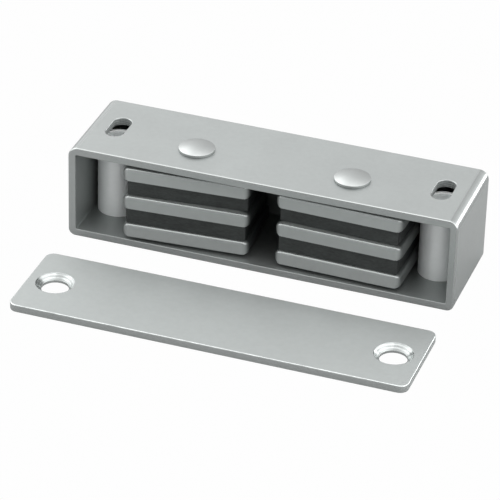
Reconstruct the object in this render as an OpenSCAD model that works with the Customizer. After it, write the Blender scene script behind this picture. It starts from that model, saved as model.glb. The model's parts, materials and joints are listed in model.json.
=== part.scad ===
// Magnetic catch with two floating magnet stacks in a box housing, and its strike plate.
// The origin is the centre of the housing's base. +X runs along the catch, the open front
// faces -Y and +Z is up. The strike plate lies on the same level in front of the housing.

/* [Pole plates] */
// Length of a steel pole plate, along the catch
plate_l = 29; // [20:0.1:40]
// Depth of a pole plate, from its front edge to its back edge
plate_d = 19; // [16:0.1:26]
// Thickness of a pole plate
plate_t = 3.2; // [2:0.1:5]
// Radius of a pole plate's corners, seen from above
plate_corner = 1.6; // [1:0.1:3]
// Radius that tumbling leaves along a pole plate's edges
plate_edge = 1.1; // [0.2:0.05:1.2]

/* [Magnets] */
// Thickness of a ceramic magnet
magnet_t = 3.8; // [2:0.1:6]
// How far a magnet's ends stand back from the plate's ends
magnet_end_inset = 0.8; // [0.3:0.1:2]
// How far a magnet's front and back stand back from the plate's
magnet_face_inset = 0.5; // [0.2:0.1:1.5]
// Radial play of the loose hole through a magnet on its rivet
magnet_play = 0.8; // [0.65:0.05:1.6]
// Radius along a magnet's edges
magnet_edge = 0.3; // [0.1:0.05:0.6]
// How far the upper magnets have slipped back in their loose hole
magnet_slip = 0.6; // [0:0.05:0.75]

/* [How the stacks stand] */
// Free turn of a stack on its rivet, either way from square, in degrees
swing = 5; // [4:0.5:9]
// Turn of the left stack about its rivet, in degrees
left_turn = 3.9; // [-6:0.1:6]
// Turn of the right stack about its rivet, in degrees
right_turn = -1.4; // [-6:0.1:6]
// Further turn of the left stack's upper magnet, in degrees
left_magnet_turn = 1.8; // [-2:0.1:2]
// Further turn of the right stack's upper magnet, in degrees
right_magnet_turn = -1.2; // [-2:0.1:2]

/* [Housing] */
// Thickness of the housing's walls
wall = 1.75; // [1.4:0.05:3]
// Outer radius of the housing's two long edges on top
top_corner = 2.6; // [1.6:0.1:4]
// Outer radius of the housing's two long edges at the base
base_corner = 1.6; // [1.2:0.1:3]
// Inner radius of the housing's long edges
mouth_corner = 0.6; // [0.2:0.05:3]
// Radius that breaks the housing's front and back edges
housing_edge = 0.4; // [0.2:0.05:0.8]
// Radius that breaks the mouth's inner edge
mouth_edge = 0.2; // [0.1:0.05:0.4]
// How far the plates' front edges stand behind the mouth
front_recess = 0.8; // [0.4:0.1:4]
// Gap that stays between the back wall and a plate at its full swing
back_clear = 1.8; // [0.6:0.05:6]
// Gap between the two stacks
centre_gap = 6.8; // [5:0.1:16]
// Gap between a screw sleeve's foot and the rounding at the end of the housing's floor
end_gap = 0.05; // [0.02:0.01:10]

/* [Screw sleeves and slots] */
// Bore of a screw sleeve
sleeve_bore = 7.4; // [6:0.1:9]
// Wall of a screw sleeve
sleeve_wall = 0.9; // [0.7:0.05:1.6]
// Wall of the thin spigot that holds a sleeve in the base
spigot_wall = 0.45; // [0.3:0.05:0.6]
// Gap between a sleeve's rim and the underside of the top wall
sleeve_gap = 1.2; // [0.6:0.1:3]
// Gap that stays between a sleeve and a plate at its full swing
sleeve_clear = 0.16; // [0.1:0.01:2]
// Width of a screw slot in the top wall
slot_w = 4.25; // [3.5:0.05:5.5]
// Length of a screw slot, from front to back
slot_l = 8.7; // [7:0.1:12]
// How far the sleeves and slots stand behind the middle of the housing
screw_y = 0.4; // [0:0.1:2]

/* [Rivets and spacers] */
// Diameter of a rivet's shank
rivet_d = 4.8; // [4:0.1:6]
// Distance from a plate's front edge back to the rivet
rivet_setback = 8.6; // [7:0.1:9.5]
// Diameter of a rivet's head
head_d = 8.5; // [7:0.1:12]
// Height of the head's upright rim
head_rim = 0.6; // [0.3:0.05:1]
// Height of the head's dome above its rim
head_dome = 0.75; // [0.3:0.05:1.5]
// Radius that breaks the rim of the head
head_edge = 0.15; // [0.05:0.05:0.25]
// How far the rivet's tail is flared, flush in the base
tail_flare = 1.2; // [0.6:0.05:1.35]
// Diameter of the hollow in the rivet's tail
tail_bore = 2.6; // [1.6:0.1:3.2]
// Depth of the hollow in the rivet's tail
tail_depth = 4; // [2:0.1:8]
// Outer diameter of the spacers that hold a stack clear of the walls
spacer_od = 10; // [7:0.1:12]
// Thickness of a spacer
spacer_t = 0.7; // [0.4:0.05:3]

/* [Strike plate] */
// Width of the strike plate
strike_w = 23.1; // [16:0.1:32]
// Thickness of the strike plate
strike_t = 1.8; // [1.5:0.1:4]
// Radius of the strike plate's corners
strike_corner = 2; // [0.8:0.1:4]
// Radius that breaks the strike plate's edges
strike_edge = 0.25; // [0.1:0.05:0.6]
// Distance from a strike screw hole to the plate's end
strike_hole_end = 6.3; // [6:0.1:14]
// Diameter of a strike screw hole
strike_hole = 6.1; // [4:0.1:7]
// Depth of the countersink at the face
sink_depth = 1.2; // [0.5:0.05:1.4]
// Included angle of the countersink, in degrees
sink_angle = 90; // [82:1:100]
// Gap on the table between the strike plate and the housing
strike_apart = 11.4; // [4:0.1:30]

/* [Fits] */
// Radial clearance of a hole that turns on a rivet
turn_clear = 0.05; // [0.02:0.01:0.1]
// Clearance between a spacer and the stack that turns on it
face_clear = 0.05; // [0.02:0.01:0.2]
// Radial clearance of what is pressed or riveted in place
seat_clear = 0.02; // [0.01:0.01:0.05]

/* [Hidden] */
$fn = 96;

// Overlap that lets a cut pass clear through a face
past = 1;
left = -1;
right = 1;

// A pole plate's rim takes at most these shares of its thickness and of its corners' radius
rim_share = 0.45;
corner_share = 0.95;
plate_rim = min(plate_edge, rim_share * plate_t, corner_share * plate_corner);

// The housing leaves room for the free turn, and for a stack that rests further round than that
room = max(swing, abs(left_turn), abs(right_turn));

// Heights, from the base upwards: wall, spacer, stack, spacer, wall
stack_h = 3 * plate_t + 2 * magnet_t;
inner_h = stack_h + 2 * (spacer_t + face_clear);
housing_h = inner_h + 2 * wall;
ceiling_z = housing_h - wall;
upper_spacer_z = ceiling_z - spacer_t;
lower_plate_z = wall + spacer_t + face_clear;
lower_magnet_z = lower_plate_z + plate_t;
middle_plate_z = lower_magnet_z + magnet_t;
upper_magnet_z = middle_plate_z + plate_t;
upper_plate_z = upper_magnet_z + magnet_t;

// Places from front to back: recess, front of the plate, its back at full swing, wall
swing_back = (plate_d - rivet_setback - plate_corner) * cos(room)
    + (plate_l / 2 - plate_corner) * sin(room) + plate_corner;
housing_d = front_recess + rivet_setback + swing_back + back_clear + wall;
rivet_y = front_recess + rivet_setback - housing_d / 2;

// Places along the catch, from the middle outwards: gap, stack at full swing, sleeve, end wall
sleeve_od = sleeve_bore + 2 * sleeve_wall;
rivet_x = (centre_gap + plate_l) / 2;
swing_end = (plate_l + sleeve_od) / 2 + sleeve_clear + abs(screw_y - rivet_y) * sin(room);
sleeve_x = rivet_x + swing_end / cos(room);
housing_l = 2 * (sleeve_x + sleeve_od / 2 + end_gap + mouth_corner + wall);
mouth_l = housing_l - 2 * wall;

// The upper magnets turn with their stack and a little further
left_slip_turn = left_turn + left_magnet_turn;
right_slip_turn = right_turn + right_magnet_turn;

// Strike plate, as long as the housing
strike_y = -housing_d / 2 - strike_apart - strike_w / 2;
strike_hole_x = housing_l / 2 - strike_hole_end;
strike_sink = strike_hole + 2 * sink_depth * tan(sink_angle / 2);

satin = [0.74, 0.76, 0.75];
steel = [0.66, 0.68, 0.68];
bright = [0.78, 0.8, 0.8];
ceramic = [0.17, 0.18, 0.18];

// A rectangle with round corners, centred on the origin
module round_rect(w, h, r) {
    square([w - 2 * r, h], center = true);
    square([w, h - 2 * r], center = true);
    for (x = [-1, 1], y = [-1, 1])
        translate([x * (w / 2 - r), y * (h / 2 - r)])
            circle(r = r);
}

// Half of a round post's section: its two rims have the radius edge
module post_section(r, h, edge) {
    square([r - edge, h]);
    translate([0, edge])
        square([r, h - 2 * edge]);
    for (z = [edge, h - edge])
        translate([r - edge, z])
            intersection() {
                circle(r = edge);
                translate([0, -edge])
                    square([edge, 2 * edge]);
            }
}

// A block on the plane z = 0 with rounded rims and round upright corners, which have the
// radius near at the side towards -Y and the radius far at the side towards +Y
module soft_block(l, d, h, near, far, edge) {
    translate([0, (near - far) / 2, h / 2])
        rotate([90, 0, 0])
            linear_extrude(d - near - far, center = true)
                round_rect(l, h, edge);
    for (y = [-1, 1]) {
        corner = y < 0 ? near : far;
        opposite = y < 0 ? far : near;
        translate([0, y * opposite / 2, h / 2])
            rotate([90, 0, 90])
                linear_extrude(l - 2 * corner, center = true)
                    round_rect(d - opposite, h, edge);
        for (x = [-1, 1])
            translate([x * (l / 2 - corner), y * (d / 2 - corner), 0])
                rotate_extrude()
                    post_section(corner, h, edge);
    }
}

// An upright hole through z = 0 to z = h, with a margin at both ends
module hole(d, h) {
    translate([0, 0, -past])
        cylinder(h = h + 2 * past, d = d);
}

// An upright slot of length l along Y, through z = 0 to z = h
module slot(w, l, h) {
    translate([-w / 2, -(l - w) / 2, -past])
        cube([w, l - w, h + 2 * past]);
    for (y = [-1, 1])
        translate([0, y * (l - w) / 2, 0])
            hole(w, h);
}

// Section of an opening w wide that flares with a rounded rim up to the level z = 0
module rim_section(w) {
    difference() {
        translate([-w / 2 - mouth_edge, -mouth_edge])
            square([w + 2 * mouth_edge, mouth_edge + past]);
        for (x = [-1, 1])
            translate([x * (w / 2 + mouth_edge), -mouth_edge])
                circle(r = mouth_edge);
    }
}

// What is cut to round the mouth's inner edge: four sides and four corners
module mouth_rim() {
    rotate([90, 0, 90])
        linear_extrude(mouth_l - 2 * mouth_corner, center = true)
            rim_section(inner_h);
    rotate([90, 0, 0])
        linear_extrude(inner_h - 2 * mouth_corner, center = true)
            rim_section(mouth_l);
    for (x = [-1, 1], y = [-1, 1])
        translate([x * (mouth_l / 2 - mouth_corner), y * (inner_h / 2 - mouth_corner), 0])
            rotate_extrude()
                intersection() {
                    rim_section(2 * mouth_corner);
                    translate([0, -past])
                        square([mouth_corner + mouth_edge, 2 * past]);
                }
}

// Box open at the front, with screw slots in its top and seats for sleeves and rivets
module housing() {
    color(satin)
        difference() {
            translate([0, housing_d / 2, housing_h / 2])
                rotate([90, 0, 0])
                    soft_block(housing_l, housing_h, housing_d, base_corner, top_corner, housing_edge);
            translate([0, housing_d / 2 - wall, housing_h / 2])
                rotate([90, 0, 0])
                    linear_extrude(housing_d)
                        round_rect(mouth_l, inner_h, mouth_corner);
            translate([0, -housing_d / 2, housing_h / 2])
                rotate([90, 0, 0])
                    mouth_rim();
            for (side = [left, right]) {
                translate([side * sleeve_x, screw_y, ceiling_z])
                    slot(slot_w, slot_l, wall);
                translate([side * sleeve_x, screw_y, 0])
                    hole(sleeve_bore + 2 * (spigot_wall + seat_clear), wall);
                translate([side * rivet_x, rivet_y, 0]) {
                    hole(rivet_d + 2 * seat_clear, housing_h);
                    tail_cone(seat_clear);
                }
            }
        }
}

// The flare of a rivet's tail, grown by a clearance, from the level base upwards
module tail_cone(grow) {
    cylinder(h = tail_flare, d1 = rivet_d + 2 * (tail_flare + grow), d2 = rivet_d + 2 * grow);
}

// Tube that guides a fixing screw; its spigot is pressed into the base
module screw_sleeve(side) {
    color(steel)
        translate([side * sleeve_x, screw_y, 0])
            difference() {
                union() {
                    translate([0, 0, wall])
                        cylinder(h = inner_h - sleeve_gap, d = sleeve_od);
                    cylinder(h = wall + past, d = sleeve_bore + 2 * spigot_wall);
                }
                hole(sleeve_bore, housing_h);
            }
}

// Rivet with a low domed head on the top wall and a flush flared tail
module rivet(side) {
    dome_r = (pow(head_d / 2, 2) + pow(head_dome, 2)) / (2 * head_dome);
    color(bright)
        translate([side * rivet_x, rivet_y, 0]) {
            difference() {
                union() {
                    cylinder(h = housing_h + head_rim / 2, d = rivet_d);
                    tail_cone(0);
                }
                translate([0, 0, -past])
                    cylinder(h = tail_depth + past, d = tail_bore);
            }
            translate([0, 0, housing_h])
                intersection() {
                    rotate_extrude()
                        post_section(head_d / 2, 2 * (head_rim + head_dome), head_edge);
                    translate([0, 0, head_rim + head_dome - dome_r])
                        sphere(r = dome_r);
                }
        }
}

// Flat ring that holds a stack clear of a wall
module spacer(side, z) {
    color(bright)
        translate([side * rivet_x, rivet_y, z])
            difference() {
                cylinder(h = spacer_t, d = spacer_od);
                hole(rivet_d + 2 * seat_clear, spacer_t);
            }
}

// Steel plate that carries the field to the strike, with its hole on the rivet
module pole_plate(side, z, turn) {
    color(steel)
        translate([side * rivet_x, rivet_y, z])
            rotate([0, 0, turn])
                difference() {
                    translate([0, plate_d / 2 - rivet_setback, 0])
                        soft_block(plate_l, plate_d, plate_t, plate_corner, plate_corner, plate_rim);
                    hole(rivet_d + 2 * turn_clear, plate_t);
                }
}

// Ceramic magnet, which sits slip behind its centred place on the rivet
module magnet(side, z, turn, slip) {
    color(ceramic)
        translate([side * rivet_x, rivet_y, z])
            rotate([0, 0, turn])
                translate([0, slip, 0])
                    difference() {
                        translate([0, plate_d / 2 - rivet_setback, 0])
                            soft_block(plate_l - 2 * magnet_end_inset, plate_d - 2 * magnet_face_inset,
                                       magnet_t, 2 * magnet_edge, 2 * magnet_edge, magnet_edge);
                        hole(rivet_d + 2 * magnet_play, magnet_t);
                    }
}

// Flat steel plate that the magnets pull, with a countersunk screw hole at each end
module strike_plate() {
    color(bright)
        translate([0, strike_y, 0])
            difference() {
                soft_block(housing_l, strike_w, strike_t, strike_corner, strike_corner, strike_edge);
                for (side = [left, right])
                    translate([side * strike_hole_x, 0, 0]) {
                        hole(strike_hole, strike_t);
                        translate([0, 0, strike_t - sink_depth])
                            cylinder(h = sink_depth, d1 = strike_hole, d2 = strike_sink);
                    }
            }
}

housing();
screw_sleeve(left);  // left_screw_sleeve
screw_sleeve(right);  // right_screw_sleeve
rivet(left);  // left_rivet
rivet(right);  // right_rivet
spacer(left, wall);  // left_lower_spacer
spacer(left, upper_spacer_z);  // left_upper_spacer
spacer(right, wall);  // right_lower_spacer
spacer(right, upper_spacer_z);  // right_upper_spacer
pole_plate(left, lower_plate_z, left_turn);  // left_lower_pole_plate
magnet(left, lower_magnet_z, left_turn, 0);  // left_lower_magnet
pole_plate(left, middle_plate_z, left_turn);  // left_middle_pole_plate
magnet(left, upper_magnet_z, left_slip_turn, magnet_slip);  // left_upper_magnet
pole_plate(left, upper_plate_z, left_turn);  // left_upper_pole_plate
pole_plate(right, lower_plate_z, right_turn);  // right_lower_pole_plate
magnet(right, lower_magnet_z, right_turn, 0);  // right_lower_magnet
pole_plate(right, middle_plate_z, right_turn);  // right_middle_pole_plate
magnet(right, upper_magnet_z, right_slip_turn, magnet_slip);  // right_upper_magnet
pole_plate(right, upper_plate_z, right_turn);  // right_upper_pole_plate
strike_plate();
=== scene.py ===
"""Magnetic catch with two floating magnet stacks, and its strike plate, dressed for a still.

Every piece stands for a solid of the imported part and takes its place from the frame: heights
from the solids' boxes, rivets and rest turns from the joints, and screw holes from the mounts.
Lengths are in metres, written as millimetres times MM.
"""

import json
import logging
import math
from dataclasses import dataclass, field
from enum import Enum
from functools import cache
from typing import Callable

import bmesh
import bpy
import numpy as np
from mathutils import Matrix, Vector


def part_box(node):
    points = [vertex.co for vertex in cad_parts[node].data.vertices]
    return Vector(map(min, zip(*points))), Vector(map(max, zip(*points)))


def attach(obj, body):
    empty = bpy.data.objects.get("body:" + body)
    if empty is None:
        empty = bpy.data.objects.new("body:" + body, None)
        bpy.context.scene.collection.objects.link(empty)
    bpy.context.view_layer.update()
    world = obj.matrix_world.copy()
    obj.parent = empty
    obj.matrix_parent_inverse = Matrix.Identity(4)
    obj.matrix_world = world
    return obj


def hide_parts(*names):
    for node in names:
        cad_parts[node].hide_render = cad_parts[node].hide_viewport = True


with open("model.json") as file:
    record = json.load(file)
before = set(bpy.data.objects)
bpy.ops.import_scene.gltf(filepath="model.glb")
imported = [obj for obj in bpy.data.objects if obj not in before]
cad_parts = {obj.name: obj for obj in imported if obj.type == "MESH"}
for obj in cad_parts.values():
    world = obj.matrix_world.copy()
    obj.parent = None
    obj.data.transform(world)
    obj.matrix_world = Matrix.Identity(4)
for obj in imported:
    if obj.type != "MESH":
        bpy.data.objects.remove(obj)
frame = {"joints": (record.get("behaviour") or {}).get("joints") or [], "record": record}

Array = np.ndarray
Material = bpy.types.Material
NodeTree = bpy.types.NodeTree
Object = bpy.types.Object
Socket = bpy.types.NodeSocket
Sockets = bpy.types.bpy_prop_collection
Colour = tuple[float, float, float]
# Loop of points, its level or the level of each point, and its rim value
Row = tuple[Array, Array | float, float]
Place = Callable[[Array], Array]

log = logging.getLogger("catch")

MM = 0.001
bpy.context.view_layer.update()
# Where the housing's mouth stands along Y
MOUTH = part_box("housing")[0].y

# Two points closer than this are one point of the skin
WELD = 1e-6
# Faces that meet at more than this are parted by a sharp edge
SHARP_ANGLE = math.radians(38)
# Smallest part of a ray across an opening, so that a ray along its middle line has an end
LEAST_ACROSS = 1e-9
# Smallest square of a ray's run on the level, so that nothing is divided by nought straight up
STEEPEST = 1e-6


class Side(Enum):
    """End of the catch, with the sign of its place along X."""

    LEFT = -1
    RIGHT = 1

    @property
    def word(self) -> str:
        """Name of the side as it stands in node names."""
        return self.name.lower()


class Slot(Enum):
    """Material slots of the part's record."""

    HOUSING = "housing"
    SLEEVE = "sleeve"
    RIVET = "rivet"
    SPACER = "spacer"
    POLE_PLATE = "pole_plate"
    MAGNET = "magnet"
    STRIKE = "strike"


# Facts read from the frame


def joint_of(side: Side) -> dict:
    """The swivel of one stack, as the record states it."""
    name = f"{side.word}_stack_swivel"
    return next(joint for joint in frame["joints"] if joint["name"] == name)


def mount(name: str) -> dict:
    """A mount of the record by its name."""
    return next(m for m in frame["record"]["mounts"] if m["name"] == name)


def rivet_place(side: Side) -> Array:
    """Where a rivet's axis meets the base, from its joint."""
    x, y, _ = joint_of(side)["pos_m"]
    return np.array([x, y, 0.0])


def rest_turn(side: Side) -> float:
    """Turn of a stack at rest: the range is even about square, so it is the range's middle, reversed."""
    low, high = joint_of(side)["range_deg"]
    return math.radians(-(low + high) / 2)


def screw_place(side: Side, name: str) -> Array:
    """Centre of one of a pair of screw holes, from the mount that spaces them."""
    pair = mount(name)
    x, y, _ = pair["pos_m"]
    return np.array([x + side.value * pair["dims"]["spacing_x_mm"] * MM / 2, y, 0.0])


# Surfaces


def quarter_turn(radius: float, steps: int) -> tuple[Array, Array, Array]:
    """Rounded rim from a side to a flat.

    The inset is radius times one less the cosine, and the depth below the flat is radius times
    one less the sine, of an angle that runs from nought to a right angle. The rim value is the
    sine of twice the angle, so it is nought at both ends and one in the middle.

    Args:
        radius: Radius of the rim.
        steps: Number of strips across the rim.

    Returns:
        Inset from the side, depth below the flat and rim value, at each station.
    """
    turn = np.linspace(0.0, math.pi / 2, steps + 1)
    return radius * (1 - np.cos(turn)), radius * (1 - np.sin(turn)), np.sin(2 * turn)


@dataclass(frozen=True)
class Outline:
    """Rectangle with round corners, cut into stations that every inset of it shares."""

    half_u: float
    half_v: float
    low_corner: float
    high_corner: float
    along_u: Array
    along_v: Array
    arc_steps: int = 12

    def rays(self) -> Array:
        """Direction straight out of the outline at each point, spread over a quarter at each corner.

        Returns:
            One direction for each point.
        """
        turn = np.linspace(0.0, math.pi / 2, self.arc_steps + 1)[1:-1]
        angles = [
            part
            for quarter, run in enumerate((self.along_v, self.along_u, self.along_v, self.along_u))
            for part in (np.full(run.size, quarter * math.pi / 2), turn + quarter * math.pi / 2)
        ]
        angle = np.concatenate(angles)
        return np.column_stack([np.cos(angle), np.sin(angle)])

    def bend(self) -> Array:
        """How far each point is inside a round corner: nought on the sides and one at a corner's middle."""
        ray = self.rays()
        return np.abs(2 * ray[:, 0] * ray[:, 1])

    def loop(self, inset: Array | float = 0.0) -> Array:
        """The outline drawn in by an inset, anticlockwise from the foot of the right side.

        Each point starts from the centre of its own corner, or from the line between two corner
        centres, and lies at the corner's radius less the inset along its ray.

        Args:
            inset: How far the outline is drawn in, everywhere or at each point.

        Returns:
            Points of the closed loop, one row each.
        """
        low, high = self.low_corner, self.high_corner
        stand = (self.along_v + 1) / 2 * (2 * self.half_v - low - high) + low - self.half_v
        crown = self.along_u[::-1] * (self.half_u - high)
        foot = self.along_u * (self.half_u - low)
        sides = (self.half_u, stand), (crown, self.half_v), (-self.half_u, stand[::-1]), (foot, -self.half_v)
        corners = (1, 1, high), (-1, 1, high), (-1, -1, low), (1, -1, low)
        centres, sizes = [], []
        for side, (u, v, corner) in zip(sides, corners):
            run = np.column_stack(np.broadcast_arrays(*side))
            centre = (u * (self.half_u - corner), v * (self.half_v - corner))
            centres += [run, np.tile(centre, (self.arc_steps - 1, 1))]
            sizes += [np.zeros(len(run)), np.full(self.arc_steps - 1, corner)]
        reach = np.concatenate(sizes) - inset
        return np.vstack(centres) + reach[:, None] * self.rays()

    def rim(self, radius: Array | float, face: float, up: int, steps: int) -> list[Row]:
        """Loops of a rounded rim, from the side to a face.

        Args:
            radius: Radius of the rim, everywhere or at each point.
            face: Level of the face.
            up: One for a face above the side, and minus one for a face below it.
            steps: Number of strips across the rim.

        Returns:
            The rows of the rim, the last of them on the face.
        """
        stations = zip(*quarter_turn(1.0, steps))
        return [(self.loop(inset * radius), face - up * drop * radius, rim) for inset, drop, rim in stations]

    @property
    def first_top(self) -> int:
        """Index of the top side's first point, at its right end."""
        return self.along_v.size + self.arc_steps - 1

    @property
    def first_foot(self) -> int:
        """Index of the bottom side's first point, at its left end."""
        return 2 * self.first_top + self.along_u.size + self.arc_steps - 1

    def round_runs(self) -> Array:
        """True for each strip between two points that isn't on the top or the bottom side.

        Returns:
            One value for each strip.
        """
        count = len(self.loop())
        keep = np.ones(count, bool)
        for first in (self.first_top, self.first_foot):
            keep[first : first + self.along_u.size - 1] = False
        return keep


@dataclass(frozen=True)
class Opening:
    """Round hole, or a slot whose round ends stand apart along V."""

    centre: tuple[float, float]
    radius: float
    half_run: float = 0.0

    def loop(self, around: Array, grow: float = 0.0) -> Array:
        """Points of the opening's edge that face the points of a loop around it.

        A ray from the centre meets a straight side where its run across equals the radius, and
        otherwise the round end, at the run's end along the ray plus the rest of the radius.

        Args:
            around: Loop of points, one row each, that encloses the opening.
            grow: How far the edge is moved out.

        Returns:
            One point for each point of the loop.
        """
        ray = around[:, :2] - np.array(self.centre)
        ray = ray / np.linalg.norm(ray, axis=1, keepdims=True)
        radius = self.radius + grow
        across, along = np.abs(ray[:, 0]), np.abs(ray[:, 1])
        flat = radius / np.maximum(across, LEAST_ACROSS)
        rest = np.sqrt(np.maximum(radius**2 - (self.half_run * across) ** 2, 0.0))
        reach = np.where(flat * along < self.half_run, flat, self.half_run * along + rest)
        return np.array(self.centre) + ray * reach[:, None]


def at_level(loop: Array, level: Array | float) -> Array:
    """A flat loop lifted to a level, the same everywhere or one at each point."""
    return np.column_stack([loop, np.broadcast_to(level, len(loop))])


def for_each_point(values: Array | float, depth: int, width: int) -> Array:
    """One value, a value for each row or a value for each point, as a value for each point of a grid.

    Args:
        values: The values.
        depth: Number of rows.
        width: Points in a row.

    Returns:
        One value for each point.
    """
    values = np.asarray(values, float)
    if values.ndim == 1:
        values = values[:, None]
    return np.broadcast_to(values, (depth, width)).ravel()


@dataclass
class Skin:
    """Closed skin of one piece, gathered from grids of points.

    Each grid also says how much of a rim each point is, from 0 on a flat to 1 on an edge, how
    much painted shade it takes, from 0 outside to 1 inside and more on the mouth's lip and on
    the rivet heads' sides, and whether a cutter left marks there. The finishes read "rim",
    "inside" and "cut".
    """

    points: list[Array] = field(default_factory=list)
    quads: list[Array] = field(default_factory=list)
    marks: dict[str, list[Array]] = field(default_factory=lambda: {"rim": [], "inside": [], "cut": []})
    count: int = 0

    def grid(
        self, points: Array, closed: bool = True, keep: Array | None = None, **marks: Array | float
    ) -> None:
        """Adds a grid of points as quads.

        Args:
            points: Points, shaped rows by columns by three.
            closed: Whether the last column joins the first.
            keep: Which strips between two columns are filled, or all.
            **marks: Rim, inside and cut value of all points, of each row or of each point.
        """
        depth, width = points.shape[:2]
        index = self.count + np.arange(depth * width).reshape(depth, width)
        if closed:
            index = np.hstack([index, index[:, :1]])
        quads = np.stack([index[:-1, :-1], index[:-1, 1:], index[1:, 1:], index[1:, :-1]], axis=-1)
        if keep is not None:
            quads = quads[:, keep]
        self.points.append(points.reshape(-1, 3))
        self.quads.append(quads.reshape(-1, 4))
        for label, values in self.marks.items():
            values.append(for_each_point(marks.get(label, 0.0), depth, width))
        self.count += depth * width

    def rows(self, rows: list[Row], **marks: Array | float) -> None:
        """Adds loops one after the other, each at its level and with its rim value."""
        loops = np.stack([at_level(loop, level) for loop, level, _ in rows])
        self.grid(loops, rim=np.array([rim for _, _, rim in rows]), **marks)

    def ring(self, *loops: Array, inside: float = 0.0) -> None:
        """Fills the flat between loops of as many points, from the outermost to the innermost."""
        self.grid(np.stack(loops), inside=inside)

    def cap(self, loop: Array, inside: float = 0.0, even: Array | None = None) -> None:
        """Closes a flat loop onto its middle line, and keeps each point's place along U.

        Args:
            loop: Loop of points, one row each.
            inside: Inside value of the cap.
            even: Loop whose stations above and below face each other, where this loop's don't.
        """
        reach = max(np.ptp(loop[:, 0]) - np.ptp(loop[:, 1]), 0.0) / 2
        line = loop.copy()
        middle = (loop[:, :2].max(axis=0) + loop[:, :2].min(axis=0)) / 2
        facing = loop if even is None else even
        line[:, 0] = middle[0] + np.clip(facing[:, 0] - middle[0], -reach, reach)
        line[:, 1] = middle[1]
        self.ring(loop, line, inside=inside)


def upright(centre: Array, turn: float = 0.0) -> Place:
    """Place of a piece that stands on the level: turned about its own upright axis, then moved."""
    spin = np.array([
        [math.cos(turn), math.sin(turn), 0.0],
        [-math.sin(turn), math.cos(turn), 0.0],
        [0.0, 0.0, 1.0],
    ])
    return lambda points: points @ spin + centre


def turned_profile(profile: Array, steps: int) -> Array:
    """A profile of radius and height carried round the upright axis.

    A point at an angle lies at the radius times its cosine and sine, at the profile's height.

    Args:
        profile: Radius and height of each station, one row each.
        steps: Number of strips round the axis.

    Returns:
        Grid of points, stations by steps.
    """
    turn = np.arange(steps) * 2 * math.pi / steps
    radius, height = profile[:, 0, None], profile[:, 1, None]
    return np.stack([radius * np.cos(turn), radius * np.sin(turn), height + 0 * turn], axis=-1)


def softened(corners: Array, steps: int = 4) -> tuple[Array, Array]:
    """Rounds the corners of a profile.

    A corner is replaced by points of the curve that blends its two edges: the weights of the
    edge before, the corner and the edge after are (1-t) squared, 2t(1-t) and t squared.

    Args:
        corners: Radius and height of each corner, and how far it is cut back along its edges.
        steps: Number of strips on a corner.

    Returns:
        The rounded profile, and the rim value of each of its points.
    """
    profile, spans, rims = corners[:, :2], [], []
    t = np.linspace(0.0, 1.0, steps + 1)[:, None]
    for i, (corner, back) in enumerate(zip(profile, corners[:, 2])):
        if back <= 0:
            spans.append(corner[None])
            rims.append(np.zeros(1))
            continue
        ways = [profile[k] - corner for k in (i - 1, i + 1)]
        before, after = [corner + back * way / np.linalg.norm(way) for way in ways]
        spans.append((1 - t) ** 2 * before + 2 * t * (1 - t) * corner + t**2 * after)
        rims.append(4 * (t * (1 - t))[:, 0])
    return np.vstack(spans), np.concatenate(rims)


# Making a piece of a skin


def placed(name: str, data: bpy.types.ID) -> Object:
    """A new object in the scene, unmoved."""
    made = bpy.data.objects.new(name, data)
    bpy.context.scene.collection.objects.link(made)
    return made


def make_piece(
    name: str,
    skin: Skin,
    place: Place,
    slot: Slot,
    finish: Material,
    *nodes: str,
    body: str = "housing",
) -> Object:
    """Turns a skin into a piece of the scene that stands for CAD nodes.

    Args:
        name: Name of the piece.
        skin: Its closed skin.
        place: Moves the skin's points into the frame.
        slot: Material slot of the record; not used.
        finish: Its material.
        *nodes: CAD nodes that it stands for.
        body: CAD body it rides on.

    Returns:
        The finished object.
    """
    points = place(np.vstack(skin.points)).astype(np.float32)
    quads = np.vstack(skin.quads)
    mesh = bpy.data.meshes.new(name)
    mesh.vertices.add(len(points))
    mesh.vertices.foreach_set("co", points.ravel())
    mesh.loops.add(quads.size)
    mesh.loops.foreach_set("vertex_index", quads.ravel().astype(np.int32))
    mesh.polygons.add(len(quads))
    mesh.polygons.foreach_set("loop_start", np.arange(len(quads), dtype=np.int32) * 4)
    for label, values in skin.marks.items():
        attribute = mesh.attributes.new(label, "FLOAT", "POINT")
        attribute.data.foreach_set("value", np.concatenate(values).astype(np.float32))
    mesh.update(calc_edges=True)

    work = bmesh.new()
    work.from_mesh(mesh)
    bmesh.ops.remove_doubles(work, verts=work.verts, dist=WELD)
    bmesh.ops.dissolve_degenerate(work, edges=work.edges, dist=WELD)
    bmesh.ops.recalc_face_normals(work, faces=work.faces)
    open_edges = sum(1 for edge in work.edges if len(edge.link_faces) != 2)
    if open_edges:
        raise ValueError(f"{name} has {open_edges} edges that don't join two faces")
    work.to_mesh(mesh)
    work.free()

    mesh.polygons.foreach_set("use_smooth", np.ones(len(mesh.polygons), bool))
    mesh.set_sharp_from_angle(angle=SHARP_ANGLE)
    mesh.materials.append(finish)
    piece = placed(name, mesh)
    shading = piece.modifiers.new("flat sides stay flat", "WEIGHTED_NORMAL")
    shading.mode = "FACE_AREA"
    shading.keep_sharp = True
    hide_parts(*nodes)
    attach(piece, body)
    log.info("%s: %d faces on %s", name, len(mesh.polygons), body)
    return piece


# Finishes

# How deep a bump is between the lowest and the highest value
BUMP_DEPTH = 0.1 * MM
# Scale of the coarse grain, as a share of the fine grain's
COARSER = 0.17
# Distance at which a wave of scale one repeats
WAVE_LENGTH = 0.314


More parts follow.
